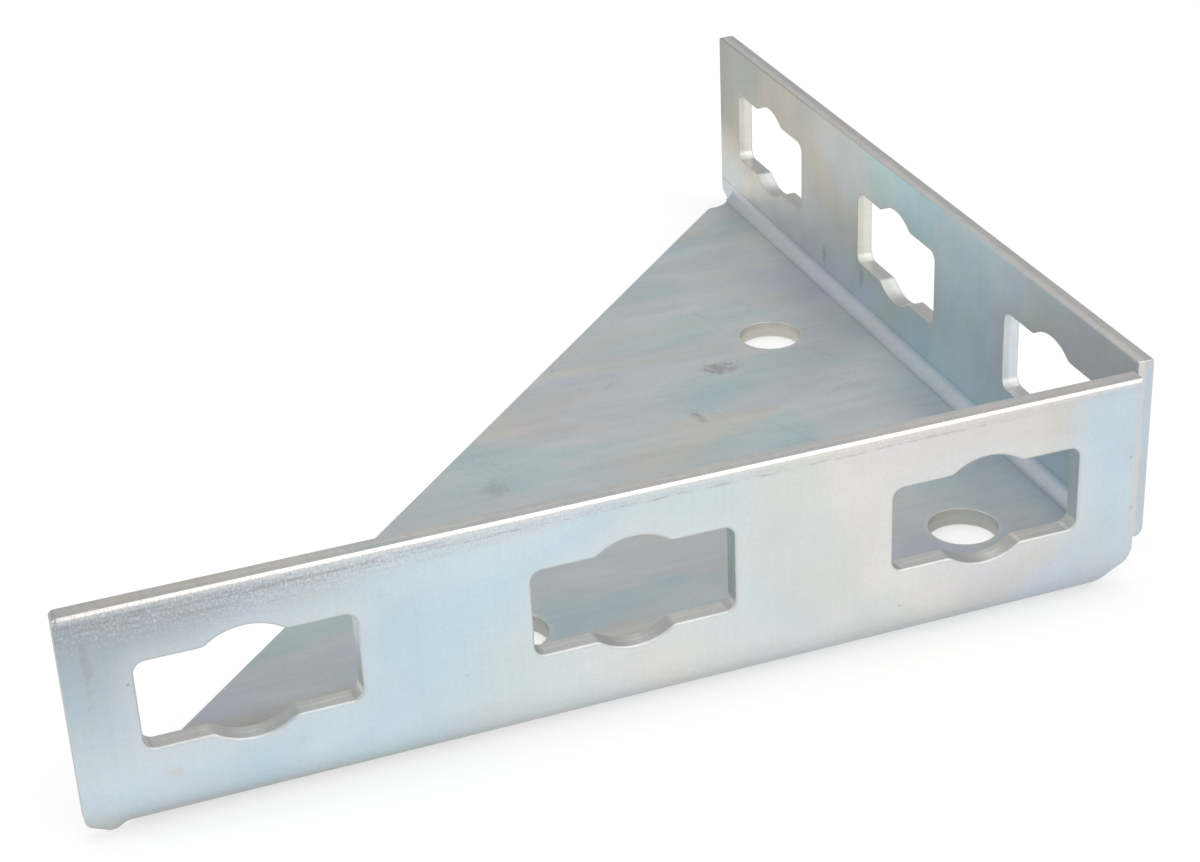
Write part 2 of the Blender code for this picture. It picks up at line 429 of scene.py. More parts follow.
cut_edge = bpy.data.materials.new("sheared_edge")
plated_sheet = bpy.data.materials.new("plated_sheet")
punch_row = punch_row_tree()
slot_rim = sheared_rim(slot_loop(), punched_outer_roll, punched_inner_roll)
slot_rims = run_tree(plain_object("slot_rim", slot_rim), punch_row, Count=slots_per_flange, First=first_slot,
                     Spacing=slot_spacing, Line=slot_line, Material=cut_edge)
hole_rim = sheared_rim(hole_loop(), punched_outer_roll, punched_inner_roll)
corner_hole_rim = run_tree(plain_object("corner_hole_rim", hole_rim.copy()), punch_row, Count=1,
                           First=hole_inset, Line=hole_inset, On_Both_Legs=False, Material=cut_edge)
far_hole_rims = run_tree(plain_object("far_hole_rim", hole_rim), punch_row, Count=1, First=far_hole,
                         Line=hole_inset, Material=cut_edge)

# The flat sheet
# The rims of the outline, the slots and the holes are joined by the blank's two flat faces. The blank is then
# split along the lines where it will bend, close enough together for the fold to come out round.

fold_cuts = 28
lug_release_share = 0.5
lug_release_cuts = 16
snap_distance = 0.000004
release_start = web_end + lug_fillet_radius * lug_release_share
release_end = web_end + lug_fillet_radius


def rim_loops(mesh, depth):
    """The closed runs of open edges at a depth, each as a list of vertices in order."""
    ahead = {}
    for edge in mesh.edges:
        if edge.is_boundary and all(abs(corner.co.z - depth) < snap_distance for corner in edge.verts):
            corner = edge.link_loops[0].vert
            ahead[corner] = edge.other_vert(corner)
    loops = []
    while ahead:
        loop = [next(iter(ahead))]
        while loop[-1] in ahead:
            loop.append(ahead.pop(loop[-1]))
        loops.append(loop[:-1])
    return loops


def fill(mesh, depth):
    """The flat face at a depth, between the outline and the openings."""
    corners, loops = [], []
    for loop in rim_loops(mesh, depth):
        loops.append(range(len(corners), len(corners) + len(loop)))
        corners += loop
    inside_without_holes = 2
    found = delaunay_2d_cdt([corner.co.xy for corner in corners], [], loops, inside_without_holes, 0)
    for triangle in found[2]:
        mesh.faces.new([corners[found[3][corner][0]] for corner in triangle])


def split(mesh, point, normal):
    """Splits every face along a plane."""
    parts = list(mesh.verts) + list(mesh.edges) + list(mesh.faces)
    bmesh.ops.bisect_plane(mesh, geom=parts, dist=snap_distance, plane_co=point, plane_no=normal,
                           use_snap_center=True)


def flat_blank():
    """The punched blank, split along its fold lines and where the lugs come away from their folds."""
    blank = outline_rim
    for rims in (slot_rims, corner_hole_rim, far_hole_rims):
        blank.from_mesh(rims)
        bpy.data.meshes.remove(rims)
    fill(blank, 0)
    fill(blank, sheet_thickness)
    bmesh.ops.recalc_face_normals(blank, faces=blank.faces)
    for face in blank.faces:
        face.smooth = True
    for step in range(fold_cuts + 1):
        line = outside_bend_radius - fold_length * step / fold_cuts
        split(blank, (0, line, 0), (0, 1, 0))
        split(blank, (-line, 0, 0), (1, 0, 0))
    for step in range(lug_release_cuts + 1):
        line = release_start + (release_end - release_start) * step / lug_release_cuts
        split(blank, (-line, 0, 0), (1, 0, 0))
        split(blank, (0, line, 0), (0, 1, 0))
    bmesh.ops.triangulate(blank, faces=blank.faces)
    return plain_object("blank", blank)


# The fold
# Both flanges are pressed up square to the web over a 3 mm nose. The sheet keeps its length along the neutral
# line inside it, and each flange's free end, past the web, has no web to bend against and stays a flat lug.

wall_normal_limit = 0.1


def fold_tree():
    """Folds both flanges up, and keeps each point's place in the flat blank in an attribute."""
    tree, given = group(
        "fold_up",
        "GeometryNodeTree",
        {
            "Blank": ("Geometry", None),
            "Outside Bend Radius": ("Float", outside_bend_radius),
            "Fold Length": ("Float", fold_length),
            "Release Start": ("Float", release_start),
            "Release End": ("Float", release_end),
            "Shift": ("Vector", (0, 0, 0)),
            "Sheet": ("Material", None),
            "Cut Edge": ("Material", None),
        },
        {"Bracket": "Geometry"},
    )
    place = add(tree, "GeometryNodeInputPosition", "Position")
    kept = add(tree, "GeometryNodeStoreNamedAttribute", "Geometry", data_type="FLOAT_VECTOR",
               Geometry=given["Blank"], Name="blank_place", Value=place)
    facing_up = split_vector(tree, add(tree, "GeometryNodeInputNormal", "Normal"))[2]
    upright = facing_up.math("ABSOLUTE").math("LESS_THAN", wall_normal_limit)
    kept = add(tree, "GeometryNodeStoreNamedAttribute", "Geometry", data_type="BOOLEAN", domain="FACE",
               Geometry=kept, Name="on_cut_edge", Value=upright)
    x, y, depth = split_vector(tree, place)
    bend, fold = given["Outside Bend Radius"], given["Fold Length"]
    past_front, past_side = bend - y, bend + x
    past = past_front.math("MAXIMUM", past_side)
    on_flange = past > 0
    on_front = on_flange * (past_front > past_side)
    on_side = on_flange - on_front
    along = on_front.choose(-x, y)
    angle = (past / fold).math("MAXIMUM", 0).math("MINIMUM", 1) * (math.pi / 2)
    straight = past - fold
    radius = bend - depth
    inward = bend - radius * angle.math("SINE")
    height = bend - radius * angle.math("COSINE") + straight.math("MAXIMUM", 0)
    released = along.over(given["Release Start"], given["Release End"]) * on_flange
    inward = released.choose(depth, inward)
    height = released.choose(bend + straight, height)
    folded = vector(tree, on_side.choose(-inward, x), on_front.choose(inward, y), height)
    moved = add(tree, "GeometryNodeSetPosition", "Geometry", Geometry=kept, Position=folded,
                Offset=given["Shift"])
    result = add(tree, "GeometryNodeRealizeInstances", "Geometry", Geometry=moved)
    result = add(tree, "GeometryNodeSetMaterial", "Geometry", Geometry=result, Material=given["Sheet"])
    on_edge = add(tree, "GeometryNodeInputNamedAttribute", "Attribute", data_type="BOOLEAN",
                  Name="on_cut_edge")
    result = add(tree, "GeometryNodeSetMaterial", "Geometry", Geometry=result, Selection=on_edge,
                 Material=given["Cut Edge"])
    give(tree, Bracket=result)
    return tree


def folded_bracket():
    """The whole fitting as one plain mesh, shaded smooth with its flat faces kept flat."""
    shift = Vector((leg_length / 2, -leg_length / 2, solid_low.z))
    data = run_tree(flat_blank(), fold_tree(), Shift=shift, Sheet=plated_sheet, Cut_Edge=cut_edge)
    bracket = bpy.data.objects.new("plated_bracket", data)
    bpy.context.scene.collection.objects.link(bracket)
    bracket.modifiers.new("flat_faces_stay_flat", "WEIGHTED_NORMAL").keep_sharp = True
    evaluated = bracket.evaluated_get(bpy.context.evaluated_depsgraph_get())
    bracket.data = bpy.data.meshes.new_from_object(evaluated)
    bracket.modifiers.clear()
    return bracket


bracket = folded_bracket()
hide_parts("folded_angle_bracket")
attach(bracket, "root")

# The plating
# The folded fitting is barrel plated with bright zinc and passivated blue. The film's thickness varies, so
# its colour drifts from steel blue over pale zinc to warm grey, and it keeps the fine lines that rolling left
# in the sheet. Handling has left small marks, and the arrises that the tools rolled over are rubbed.
# Some colour is painted light: a highlight on the flanges' outer top arris and inside the folds, shade near
# the folds and towards the flanges' free ends, reflections low on the inner flange, and the slot walls'
# tones.

steel_blue = (0.59, 0.68, 0.73)
rubbed_zinc_and_highlight = (0.80, 0.77, 0.73)
dark_scratch = (0.36, 0.34, 0.36)
painted_end_shade = (0.20, 0.235, 0.27)
slot_halo_reach = 0.006
hole_rim_start = 0.0003
hole_rim_end = 0.0012
die_line_width = 0.00055
wear_depth = 0.0032
free_end_wear_depth = 0.007
scuff_depth = 0.0023
scuff_wander = 0.0018
scuff_half_width = 0.00045
rolled_line_height = 0.000004
sheet_wave_height = 0.00003
grit_height = 0.000006
scratch_depth = 0.000006
pit_depth = 0.00001
drawn_line_height = 0.000004
torn_line_height = 0.000012
fracture_height = 0.00004


def shader_group(name, inputs, outputs):
    """A shader node group with named inputs and outputs."""
    return group(name, "ShaderNodeTree", inputs, outputs)


def vector_math(tree, operation, first, second):
    """Two vectors or colours put together part by part."""
    node = tree.nodes.new("ShaderNodeVectorMath")
    node.operation = operation
    plug(tree, node.inputs[0], first)
    plug(tree, node.inputs[1], second)
    return Term(tree, node.outputs["Vector"])


def shaded(tree, colour, shade):
    """The colour made darker or lighter by a shade of about 1."""
    return add(tree, "ShaderNodeVectorMath", "Vector", operation="SCALE", Vector=colour, Scale=shade)


def noise(tree, place, spread, detail=3.0, roughness=0.5, distortion=0.0):
    """Soft noise about 0.5. The spread gives its grains per metre along each axis."""
    spread_place = vector_math(tree, "MULTIPLY", place, spread)
    return add(tree, "ShaderNodeTexNoise", "Fac", Vector=spread_place, Scale=1.0, Detail=detail,
               Roughness=roughness, Distortion=distortion)


def blend_colours(tree, share, low, high):
    """From the low colour to the high one. A plain colour is given as red, green and blue."""
    node = tree.nodes.new("ShaderNodeMix")
    node.data_type = "RGBA"
    sockets = [socket for socket in node.inputs if socket.enabled]
    colours = [colour if isinstance(colour, Term) else (*colour, 1) for colour in (low, high)]
    for socket, value in zip(sockets, (share, *colours)):
        plug(tree, socket, value)
    return Term(tree, next(socket for socket in node.outputs if socket.enabled))


def drift(tree, along, colours):
    """A film colour that drifts along the leg, from colours given at distances from the corner."""
    node = tree.nodes.new("ShaderNodeValToRGB")
    elements = node.color_ramp.elements
    elements.remove(elements[1])
    elements[0].color = (*colours[0][1], 1)
    for distance, colour in colours[1:]:
        elements.new(distance / leg_length).color = (*colour, 1)
    plug(tree, node.inputs[0], along / leg_length)
    return Term(tree, node.outputs["Color"])


def blank_map_group():
    """Where a place on the blank lies, measured from the fold, the flange's top, the slots and the holes."""
    measures = ("Along", "Past Fold", "Below Top", "Front", "Off Slot", "Off Hole", "Outside", "Inside",
                "On Flange", "On Web")
    tree, given = shader_group(
        "blank_map",
        {
            "Place": ("Vector", None),
            "First Slot": ("Float", first_slot),
            "Slot Spacing": ("Float", slot_spacing),
            "Slot Line": ("Float", outside_bend_radius - slot_line),
            "Slot Half Length": ("Float", slot_length / 2 - slot_corner_radius),
            "Slot Half Width": ("Float", slot_width / 2 - slot_corner_radius),
            "Hole Inset": ("Float", hole_inset),
            "Far Hole": ("Float", far_hole),
        },
        dict.fromkeys(measures, "Float") | {"Leg Place": "Vector"},
    )
    x, y, depth = split_vector(tree, given["Place"])
    past_front, past_side = -y + outside_bend_radius, x + outside_bend_radius
    past = past_front.math("MAXIMUM", past_side)
    front = past_front > past_side
    along = front.choose(-x, y)
    below_top = -past + (outside_bend_radius - flat_line(flange_height))
    outside = (depth / sheet_thickness).under(0.4, 0.6)
    on_flange = (past / fold_length).over(0.0, 1.0)

    spacing = given["Slot Spacing"]
    number = ((along - given["First Slot"]) / spacing).math("ROUND")
    number = number.math("MAXIMUM", 0).math("MINIMUM", slots_per_flange - 1)
    beside = (along - given["First Slot"] - number * spacing).math("ABSOLUTE")
    above = (past - given["Slot Line"]).math("ABSOLUTE")
    from_middle = (beside * beside + above * above).math("SQRT")
    out_along = (beside - given["Slot Half Length"]).math("MAXIMUM", 0)
    out_across = (above - given["Slot Half Width"]).math("MAXIMUM", 0)
    off_box = (out_along * out_along + out_across * out_across).math("SQRT") - slot_corner_radius
    off_slot = off_box.math("MINIMUM", from_middle - slot_bulge_radius)

    further, nearer = (-x).math("MAXIMUM", y), (-x).math("MINIMUM", y)
    gap = (further - given["Hole Inset"]).math("ABSOLUTE").math(
        "MINIMUM", (further - given["Far Hole"]).math("ABSOLUTE"))
    up = nearer - given["Hole Inset"]
    off_hole = (gap * gap + up * up).math("SQRT") - hole_diameter / 2
    leg_place = vector(tree, along, below_top, front + outside * 2)
    give(tree, Along=along, Past_Fold=past, Below_Top=below_top, Front=front, Off_Slot=off_slot,
         Off_Hole=off_hole, Outside=outside, Inside=1 - outside, On_Flange=on_flange, On_Web=1 - on_flange,
         Leg_Place=leg_place)
    return tree


def zinc_bloom_group():
    """Patches of four tints on the passivated film, drawn out along X where there is streak."""
    tree, given = shader_group(
        "zinc_bloom",
        {
            "Place": ("Vector", None),
            "Film": ("Color", (0.6, 0.67, 0.7, 1)),
            "Patches Per Metre": ("Float", 26.0),
            "Streak": ("Float", 1.0),
            "Strength": ("Float", 1.0),
            "Pale": ("Color", (1.05, 1.04, 1.03, 1)),
            "Teal": ("Color", (0.87, 0.98, 1.0, 1)),
            "Warm": ("Color", (1.03, 0.975, 0.91, 1)),
            "Lavender": ("Color", (0.99, 0.965, 1.03, 1)),
        },
        {"Color": "Color"},
    )
    no_tint = (1, 1, 1)
    per_metre, strength = given["Patches Per Metre"], given["Strength"]
    spread = vector(tree, per_metre, per_metre * given["Streak"], per_metre)
    place = vector_math(tree, "MULTIPLY", given["Place"], spread)
    elsewhere = vector_math(tree, "ADD", place, (7, 3, 5))
    broad = noise(tree, place, (0.6, 0.6, 0.6), detail=3.0, roughness=0.55, distortion=0.8)
    pale = noise(tree, place, (1.1, 1.1, 1.1), detail=4.0, roughness=0.55, distortion=0.5)
    warm = noise(tree, elsewhere, (0.7, 0.8, 0.7), detail=3.0, distortion=0.6)
    tint = blend_colours(tree, pale.over(0.42, 0.64) * strength, (0.97, 0.98, 1.0), given["Pale"])
    for share, name in (
        (broad.over(0.50, 0.66), "Teal"),
        (broad.under(0.34, 0.48), "Lavender"),
        (warm.over(0.50, 0.66), "Warm"),
    ):
        patch = blend_colours(tree, share * strength, no_tint, given[name])
        tint = vector_math(tree, "MULTIPLY", tint, patch)
    give(tree, Color=vector_math(tree, "MULTIPLY", given["Film"], tint))
    return tree


def rolling_lines_group():
    """Fine lines along the rolling: a shade of about 1 for the colour, and a height."""
    tree, given = shader_group(
        "rolling_lines",
        {"Place": ("Vector", None), "Strength": ("Float", 0.05), "Lines Per Metre": ("Float", 2600.0)},
        {"Shade": "Float", "Height": "Float"},
    )
    lines = given["Lines Per Metre"]
    place = vector_math(tree, "MULTIPLY", given["Place"], vector(tree, lines, lines, lines))
    fine = noise(tree, place, (0.012, 1, 1), detail=2.0, roughness=0.6)
    coarse = noise(tree, place, (0.003, 0.22, 0.22), detail=2.0, roughness=0.6)
    both = fine * 0.55 + coarse * 0.45
    give(tree, Shade=(both - 0.5) * given["Strength"] * 4 + 1, Height=both)
    return tree


def handling_marks_group():
    """Marks left by handling, each 0 or up to 1: thin curved scratches, dark pits and light flecks."""
    tree, given = shader_group(
        "handling_marks",
        {"Place": ("Vector", None), "Amount": ("Float", 0.5), "Spots Per Metre": ("Float", 520.0)},
        {"Scratches": "Float", "Pits": "Float", "Flecks": "Float"},
    )
    place, amount = given["Place"], given["Amount"]
    scratches = None
    for turn, shift in ((0.35, 0), (1.2, 7), (-0.6, 14)):
        turned = add(tree, "ShaderNodeMapping", "Vector", Vector=place, Rotation=(0, 0, turn),
                     Location=(shift, shift, 0))
        line = noise(tree, turned, (28, 420, 20), detail=1.0, distortion=0.9)
        thin = (line - 0.5).math("ABSOLUTE").under(0.0, 0.012)
        thin = thin * noise(tree, turned, (36, 36, 36), detail=1.0).over(0.56, 0.64)
        scratches = thin if scratches is None else scratches.math("MAXIMUM", thin)
    spots = tree.nodes.new("ShaderNodeTexVoronoi")
    plug(tree, spots.inputs["Vector"], place)
    plug(tree, spots.inputs["Scale"], given["Spots Per Metre"])
    off_spot = Term(tree, spots.outputs["Distance"])
    chance, size, kind = split_vector(tree, Term(tree, spots.outputs["Color"]))
    ragged = noise(tree, place, (3000, 3000, 3000), detail=1.0) * 0.25
    spot = ((off_spot + ragged) / (size * 0.18 + 0.16)).under(0.6, 1.0)
    rare = chance.over(0.965, 0.975) * spot * amount
    dark = kind > 0.4
    give(tree, Scratches=scratches * amount, Pits=rare * dark, Flecks=rare * (1 - dark))
    return tree


def smudge_group():
    """One smudge about its middle, up to 1 there. Noise breaks it up, with the reach as its seed."""
    tree, given = shader_group(
        "smudge",
        {"Place": ("Vector", None), "Middle": ("Vector", (0, 0, 0)), "Reach": ("Float", 0.005),
         "Length Share": ("Float", 1.0)},
        {"Smudge": "Float"},
    )
    x, y, _ = split_vector(tree, vector_math(tree, "SUBTRACT", given["Place"], given["Middle"]))
    x, y = x / given["Reach"], y / given["Reach"]
    across = x / given["Length Share"]
    away = (across * across + y * y).math("SQRT")
    seed = given["Reach"] * 3000
    torn = noise(tree, vector(tree, x, y, seed), (3, 3, 1), detail=5.0, roughness=0.75, distortion=0.6)
    give(tree, Smudge=(away + (torn - 0.5) * 3.2).under(0.1, 0.9))
    return tree


blank_map = blank_map_group()
zinc_bloom = zinc_bloom_group()
rolling_lines = rolling_lines_group()
handling_marks = handling_marks_group()
smudge = smudge_group()


def use(tree, effect, **values):
    """Places a node group in a material and gives its outputs by name."""
    node = tree.nodes.new("ShaderNodeGroup")
    node.node_tree = effect
    for name, value in values.items():
        plug(tree, node.inputs[name.replace("_", " ")], value)
    return {socket.name: Term(tree, socket) for socket in node.outputs}


def start_finish(material):
    """A metal's tree and shader, and each point's place on the blank, plain and measured."""
    material.use_nodes = True
    tree = material.node_tree
    shader = tree.nodes["Principled BSDF"]
    shader.inputs["Metallic"].default_value = 1.0
    place = add(tree, "ShaderNodeAttribute", "Vector", attribute_name="blank_place")
    return tree, shader, place, use(tree, blank_map, Place=place)


def bump(tree, height):
    """The normal of a surface with this height in metres."""
    return add(tree, "ShaderNodeBump", "Normal", Strength=1.0, Distance=1.0, Height=height)


def web_film(tree, place):
    """The film on the web: blue-grey, with painted shade near the front fold and a painted brownish
    reflection of that fold at its far end.
    """
    x, y, _ = split_vector(tree, place)
    # Painted shade of the front flange: darker towards the front fold.
    film = blend_colours(tree, y.over(0.0, 0.10), (0.475, 0.505, 0.525), (0.59, 0.625, 0.635))
    film = blend_colours(tree, x.over(-0.07, -0.015) * y.over(0.04, 0.09), film, (0.60, 0.635, 0.65))
    # Painted reflection of the fold: brownish at its far end.
    painted_fold_reflection = x.under(-0.16, -0.13) * y.under(0.019, 0.026)
    return blend_colours(tree, painted_fold_reflection * 0.85, film, (0.42, 0.405, 0.365))


def flange_film(tree, where):
    """The film on the flanges: steel blue and pale zinc outside, and teal to warm grey inside the angle.
    Painted shade darkens the outside at its free end's top and at the fold, and the inside towards its free
    end; painted reflections of the web and the floor colour the inside low down.
    """
    wander = (noise(tree, where["Leg Place"], (22, 22, 9), detail=2.0) - 0.5) * 0.09
    along = where["Along"] + wander
    slant = (where["Below Top"] - 0.02) * (where["Along"] * 5 + 0.2)
    outer = drift(tree, along - slant, (
        (0.000, (0.575, 0.67, 0.73)),
        (0.020, steel_blue),
        (0.034, (0.66, 0.65, 0.625)),
        (0.060, (0.735, 0.735, 0.72)),
        (0.113, (0.725, 0.735, 0.73)),
        (0.135, (0.64, 0.72, 0.77)),
        (0.215, steel_blue),
    ))
    # Inside: tints drift from teal to warm grey, and the darkening towards the free end is painted shade.
    inner = drift(tree, along, (
        (0.000, (0.52, 0.57, 0.585)),
        (0.050, (0.54, 0.63, 0.645)),
        (0.080, (0.56, 0.675, 0.70)),
        (0.120, (0.56, 0.61, 0.60)),
        (0.150, (0.53, 0.54, 0.51)),
        (0.215, (0.41, 0.405, 0.385)),
    ))
    # Painted shade: the outside darker towards the top of its free end.
    painted_shade_far_top = where["Along"].over(0.15, 0.215) * where["Below Top"].under(0.0, 0.04)
    outer = blend_colours(tree, painted_shade_far_top * 0.5, outer, painted_end_shade)
    # Painted reflection of the web: the inside teal-blue low down, fading towards the free end.
    low = (where["Below Top"] + wander * 0.3).over(0.020, 0.042) * (along.over(0.13, 0.21) * -0.7 + 1)
    inner = blend_colours(tree, low * 0.65, inner, (0.57, 0.74, 0.82))
    # Painted reflection of the floor: the inside paler low down towards the free end.
    painted_floor_reflection = where["Below Top"].over(0.018, 0.036) * where["Along"].over(0.11, 0.19)
    inner = blend_colours(tree, painted_floor_reflection * 0.85, inner, (0.68, 0.69, 0.68))
    # Painted shade: the outside of the fold, by the floor, darker.
    at_bend = (where["Past Fold"] / fold_length).under(0.3, 1.5)
    outer = blend_colours(tree, at_bend * 0.3, outer, (0.38, 0.41, 0.43))
    return blend_colours(tree, where["Outside"], inner, outer)


def tint_openings(tree, place, where, colour):
    """Paler zinc round the slots outside, warmer inside, and a thin worn line along each opening's rim."""
    near_slot = where["Off Slot"].under(0.0, slot_halo_reach) * where["On Flange"]
    colour = blend_colours(tree, near_slot * where["Outside"] * 0.35, colour, (0.69, 0.73, 0.75))
    colour = blend_colours(tree, near_slot * where["Inside"] * 0.18, colour, (0.50, 0.47, 0.40))
    wavering = noise(tree, place, (90, 90, 90), detail=2.0).over(0.35, 0.65)
    along_slot = (where["Off Slot"] / punched_outer_roll[0]).under(0.5, 1.3) * where["On Flange"]
    colour = blend_colours(tree, along_slot * (wavering * 0.2 + 0.2), colour, (0.58, 0.55, 0.51))
    along_hole = where["Off Hole"].under(hole_rim_start, hole_rim_end) * where["On Web"]
    return blend_colours(tree, along_hole * 0.3, colour, (0.68, 0.66, 0.58))


def tint_folds(tree, where, colour):
    """The inside of the folds, painted paler and bluer as a highlight, between the two dark lines that the
    press's nose left.
    """
    past, on_flange = where["Past Fold"], where["On Flange"]
    in_fold = on_flange.over(0.02, 0.25) * on_flange.under(0.75, 0.98) * where["Inside"]
    # Painted highlight: the inside of the fold paler and bluer.
    colour = blend_colours(tree, in_fold * 0.7, colour, (0.63, 0.665, 0.72))
    off_line = past.math("ABSOLUTE").math("MINIMUM", (past - fold_length).math("ABSOLUTE"))
    die_lines = off_line.under(0.0, die_line_width) * where["Inside"]
    return blend_colours(tree, die_lines * 0.3, colour, (0.30, 0.34, 0.38))


def wear(tree, where):
    """How worn the sheet is below the flanges' outer top, most at the free end, with its grit and streaks."""
    free_end = where["Along"].over(0.09, 0.20)
    grit = noise(tree, where["Leg Place"], (2300, 1500, 3), detail=2.0, roughness=0.7)
    streaks = noise(tree, where["Leg Place"], (75, 1500, 3), detail=4.0, roughness=0.7, distortion=0.5)
    share_down = where["Below Top"] / (free_end * free_end_wear_depth + wear_depth)
    worn = (share_down + (streaks - 0.5) * 0.9).under(0.2, 1.0)
    return worn * where["Outside"] * (free_end * 0.6 + 0.4), grit, streaks


def scuff_line(tree, where):
    """The broken line that is scuffed along the flanges, a little below their outer top."""
    wander = (noise(tree, where["Leg Place"], (30, 0, 3), detail=5.0, roughness=0.7) - 0.5) * scuff_wander
    line = (where["Below Top"] - wander - scuff_depth).math("ABSOLUTE").under(0.00002, scuff_half_width)
    broken = noise(tree, where["Leg Place"], (260, 1700, 3), detail=4.0, roughness=0.75).over(0.44, 0.60)
    return line * broken * where["Outside"] * where["Along"].over(0.02, 0.05)


def wear_and_highlight_top(tree, where, colour, at_arris, worn, grit, streaks):
    """The flanges' outer top: rubbed and given a painted highlight on its arris, and scuffed, streaked and
    gritty below it.
    """
    at_corner = (where["Along"] - corner_gap).under(0.0004, 0.0022) * where["Outside"] * where["On Flange"]
    dark_streaks = streaks.over(0.50, 0.62) * worn * where["Below Top"].over(0.0009, 0.0016)
    for share, tint in (
        (worn * 0.16, (0.35, 0.34, 0.36)),
        # Rubbed zinc on the arris, with a painted highlight in its paler colour.
        (at_arris * 0.75, rubbed_zinc_and_highlight),
        (scuff_line(tree, where) * 0.55, (0.38, 0.35, 0.40)),
        (at_corner * 0.6, (0.66, 0.62, 0.61)),
        (dark_streaks * 0.62, (0.33, 0.28, 0.29)),
        (grit.over(0.46, 0.66) * worn * 0.35, (0.34, 0.32, 0.34)),
        (grit.under(0.34, 0.50) * worn * 0.3, (0.90, 0.90, 0.90)),
    ):
        colour = blend_colours(tree, share, colour, tint)
    return colour


def stain(tree, place, where, colour):
    """The smudges on the web and the flanges and the small spots, each at its own place."""
    leg_place = where["Leg Place"]
    web, front = where["On Web"] * where["Inside"], where["Front"] * where["Outside"]
    side = (1 - where["Front"]) * where["Inside"]
    for share, spot_place, middle, reach, length_share, tint in (
        (web * 0.60, place, (-0.0461, 0.1157, 0), 0.0042, 1.5, (0.33, 0.29, 0.30)),
        (web * 0.60, place, (-0.0600, 0.0960, 0), 0.0052, 0.35, (0.36, 0.32, 0.32)),
        (web * 0.35, place, (-0.1123, 0.0830, 0), 0.0040, 1.2, (0.34, 0.32, 0.33)),
        (side * 0.45, leg_place, (0.1497, 0.0360, 0), 0.0036, 0.4, (0.24, 0.25, 0.27)),
        (side * 0.40, leg_place, (0.1289, 0.0335, 0), 0.0040, 0.4, (0.30, 0.31, 0.32)),
        (front * 0.35, leg_place, (0.2106, 0.0110, 0), 0.0110, 0.10, (0.36, 0.34, 0.38)),
        (front * 0.35, leg_place, (0.1981, 0.0358, 0), 0.0015, 1.0, (0.74, 0.52, 0.47)),
        (front * 0.60, leg_place, (0.2040, 0.0156, 0), 0.0005, 1.0, (0.28, 0.28, 0.30)),
        (front * 0.60, leg_place, (0.0084, 0.0166, 0), 0.0005, 1.0, (0.34, 0.30, 0.28)),
        (front * 0.50, leg_place, (0.0076, 0.0279, 0), 0.0005, 1.0, (0.34, 0.30, 0.28)),
    ):
        mark = use(tree, smudge, Place=spot_place, Middle=middle, Reach=reach, Length_Share=length_share)
        colour = blend_colours(tree, mark["Smudge"] * share, colour, tint)
    return colour


def finish_plated_sheet():
    """The sheet's own faces, inside and outside, with the rolled arrises."""
    tree, shader, place, where = start_finish(plated_sheet)
    leg_place, inside, on_flange = where["Leg Place"], where["Inside"], where["On Flange"]
    web_bloom = use(tree, zinc_bloom, Place=place, Film=web_film(tree, place), Streak=2.4)
    flange_bloom = use(tree, zinc_bloom, Place=leg_place, Film=flange_film(tree, where),
                       Strength=inside * 0.35 + 0.75)
    colour = blend_colours(tree, on_flange, web_bloom["Color"], flange_bloom["Color"])
    colour = tint_openings(tree, place, where, colour)
    colour = tint_folds(tree, where, colour)
    # The outer top arris: rubbed zinc with a painted highlight, and smoother.
    at_arris = where["Below Top"].under(0.0001, 0.0016) * where["Outside"]
    worn, grit, streaks = wear(tree, where)
    colour = wear_and_highlight_top(tree, where, colour, at_arris, worn, grit, streaks)
    colour = stain(tree, place, where, colour)
    marks = use(tree, handling_marks, Place=place, Amount=0.8)
    colour = blend_colours(tree, marks["Scratches"] * (inside * 0.20 + 0.05), colour, dark_scratch)
    colour = blend_colours(tree, marks["Pits"] * 0.5, colour, (0.30, 0.29, 0.30))
    colour = blend_colours(tree, marks["Flecks"] * 0.5, colour, (0.86, 0.87, 0.86))

    lines = use(tree, rolling_lines, Place=place, Strength=where["On Web"] * 0.04 + 0.015)
    hatch = noise(tree, leg_place, (900, 26, 3), detail=3.0, roughness=0.6)
    grain = noise(tree, place, (1300, 1300, 1300), detail=3.0, roughness=0.7)
    cloudy = noise(tree, leg_place, (110, 110, 3), detail=4.0, roughness=0.65)
    shade = lines["Shade"] + (hatch - 0.5) * on_flange * 0.05 + (grain - 0.5) * 0.16
    shade = shade + (cloudy - 0.5) * on_flange * (inside * 0.14 + 0.05)
    plug(tree, shader.inputs["Base Color"], shaded(tree, colour, shade))

    mottle = noise(tree, place, (90, 220, 90), detail=3.0, roughness=0.6)
    plug(tree, shader.inputs["Roughness"], mottle * 0.10 + 0.44 - at_arris * 0.16)
    waves = noise(tree, place, (55, 80, 55), detail=2.0)
    height = lines["Height"] * rolled_line_height + waves * sheet_wave_height + grit * worn * grit_height
    height = height - marks["Scratches"] * scratch_depth - marks["Pits"] * pit_depth
    plug(tree, shader.inputs["Normal"], bump(tree, height))


def sheared_film(tree, where, torn):
    """The film on the outline's walls: paler on top of the flanges, and dark on their free ends."""
    on_top = where["Below Top"].under(0.0006, 0.0016)
    film = blend_colours(tree, on_top, (0.53, 0.60, 0.645), (0.585, 0.58, 0.565))
    fracture = blend_colours(tree, where["Front"], (0.67, 0.65, 0.62), (0.58, 0.57, 0.55))
    film = blend_colours(tree, torn, film, fracture)
    free_end = where["Along"] > leg_length - outline_inner_roll[0]
    return blend_colours(tree, free_end * 0.8, film, (0.41, 0.42, 0.43))


